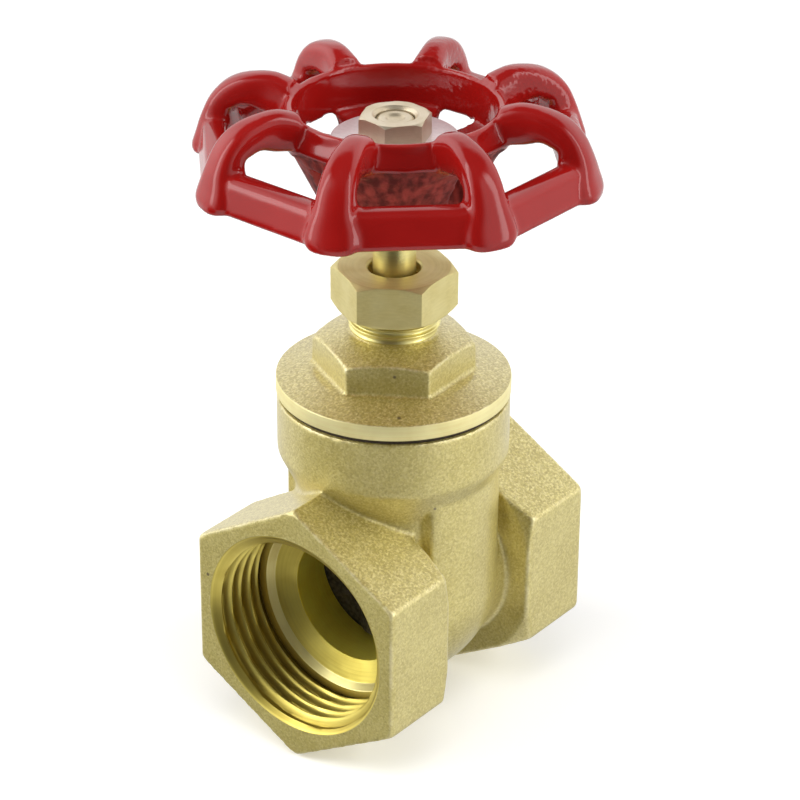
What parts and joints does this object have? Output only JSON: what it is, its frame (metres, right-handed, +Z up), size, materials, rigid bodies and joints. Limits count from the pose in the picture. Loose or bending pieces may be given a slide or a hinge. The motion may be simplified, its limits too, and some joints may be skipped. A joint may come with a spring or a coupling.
{
  "type": "brass gate valve",
  "caption": "Screwed brass gate valve: hexagonal female ends, bonnet, packing nut and a red cast handwheel on a non-rising stem that lifts a wedge gate.",
  "frame": {"origin": "centre of the inlet end face, on the flow axis", "axes": "+X along the flow towards the outlet, +Z up along the stem"},
  "size_m": [0.0624, 0.0624, 0.1079],
  "materials": {
    "cast_brass": "shot blasted casting",
    "machined_brass": "turned, bright",
    "gate_metal": "dull grey casting",
    "gasket_fibre": "matt fibre",
    "packing": "plain",
    "red_coat": "thick glossy paint on a casting",
    "plate_metal": "satin"
  },
  "bodies": {
    "housing": {"body": "cast_brass", "bonnet_gasket": "gasket_fibre", "bonnet": "cast_brass", "stem_ring": "machined_brass", "packing_rings": "packing", "gland_follower": "machined_brass", "packing_nut": "machined_brass"},
    "wheel": {"handwheel": "red_coat", "stem": "machined_brass", "wheel_plate": "plate_metal", "wheel_nut": "machined_brass"},
    "gate": {"gate": "gate_metal"}
  },
  "joints": [
    {"name": "handwheel_turn", "type": "hinge", "parent": "housing", "child": "wheel", "pos_m": [0.0257, 0, 0], "axis": [0, 0, 1], "range_deg": [0, 2580]},
    {"name": "gate_slide", "type": "slide", "parent": "housing", "child": "gate", "axis": [0, 0, 1], "range_m": [0, 0.0215]}
  ],
  "couplings": [
    {"joint": "gate_slide", "follows": "handwheel_turn", "m_per_rad": 0.00047746}
  ]
}
